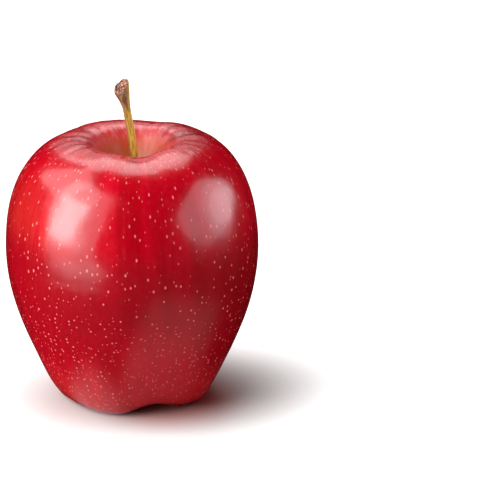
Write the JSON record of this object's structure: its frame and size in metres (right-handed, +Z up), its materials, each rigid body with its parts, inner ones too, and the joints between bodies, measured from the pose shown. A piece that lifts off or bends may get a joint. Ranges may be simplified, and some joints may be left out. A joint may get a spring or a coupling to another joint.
{
  "type": "apple",
  "caption": "Whole red apple with a tall tapering body, soft lobes, a stem in its cavity and a dried calyx underneath.",
  "frame": {"origin": "on the surface that the apple stands on, under the middle of its box", "axes": "+Z up along the apple's axis towards the stem; -Y is the front, the side that the picture's camera sees"},
  "size_m": [0.0759, 0.0758, 0.0984],
  "materials": {
    "skin": "deep red waxed fruit skin with small pale dots",
    "stem_bark": "olive and brown woody stem",
    "dry_sepal": "dull dried leaf",
    "dry_stamen": "dull dried thread"
  },
  "bodies": {
    "root": {"fruit": "skin", "stem": "stem_bark", "sepal_1": "dry_sepal", "sepal_2": "dry_sepal", "sepal_3": "dry_sepal", "sepal_4": "dry_sepal", "sepal_5": "dry_sepal", "stamen_01": "dry_stamen", "stamen_02": "dry_stamen", "stamen_03": "dry_stamen", "stamen_04": "dry_stamen", "stamen_05": "dry_stamen", "stamen_06": "dry_stamen", "stamen_07": "dry_stamen", "stamen_08": "dry_stamen", "stamen_09": "dry_stamen", "stamen_10": "dry_stamen", "style_column": "dry_stamen"}
  },
  "joints": []
}
